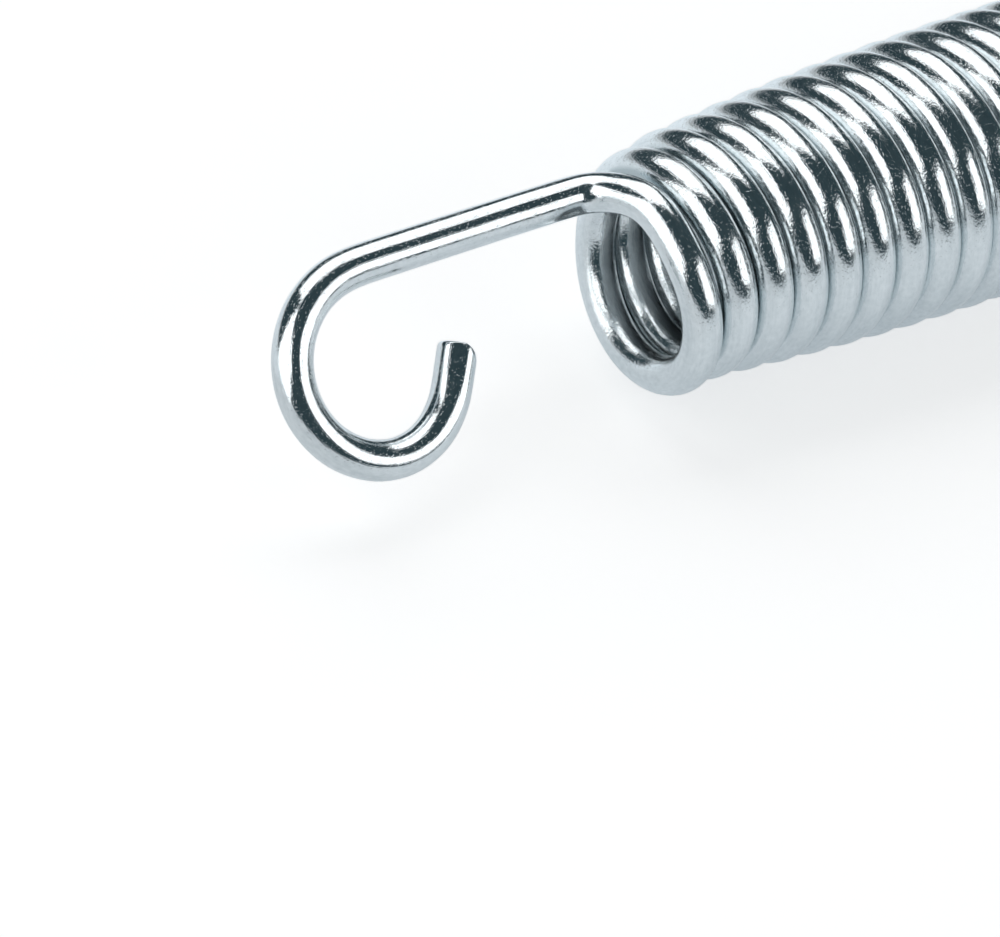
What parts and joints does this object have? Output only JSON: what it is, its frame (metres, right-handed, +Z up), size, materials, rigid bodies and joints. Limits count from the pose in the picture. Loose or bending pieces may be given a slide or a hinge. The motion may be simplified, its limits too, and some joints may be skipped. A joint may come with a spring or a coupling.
{
  "type": "extension spring",
  "caption": "Close-wound extension spring of bright zinc-plated steel wire that tapers at both ends into long hooks, one nearly closed and one open, to pull two parts together.",
  "frame": {"origin": "on the floor under the middle of the spring's length and the coil's centre line", "axes": "+X along the coil towards the open hook, +Z up, the hooks leaning 44 degrees towards +Y"},
  "size_m": [0.1782, 0.0254, 0.0254],
  "materials": {
    "zinc_plated_steel": "bright zinc plate, polished, with fine draw marks along the wire"
  },
  "bodies": {
    "root": {"spring_wire": "zinc_plated_steel"}
  },
  "joints": []
}
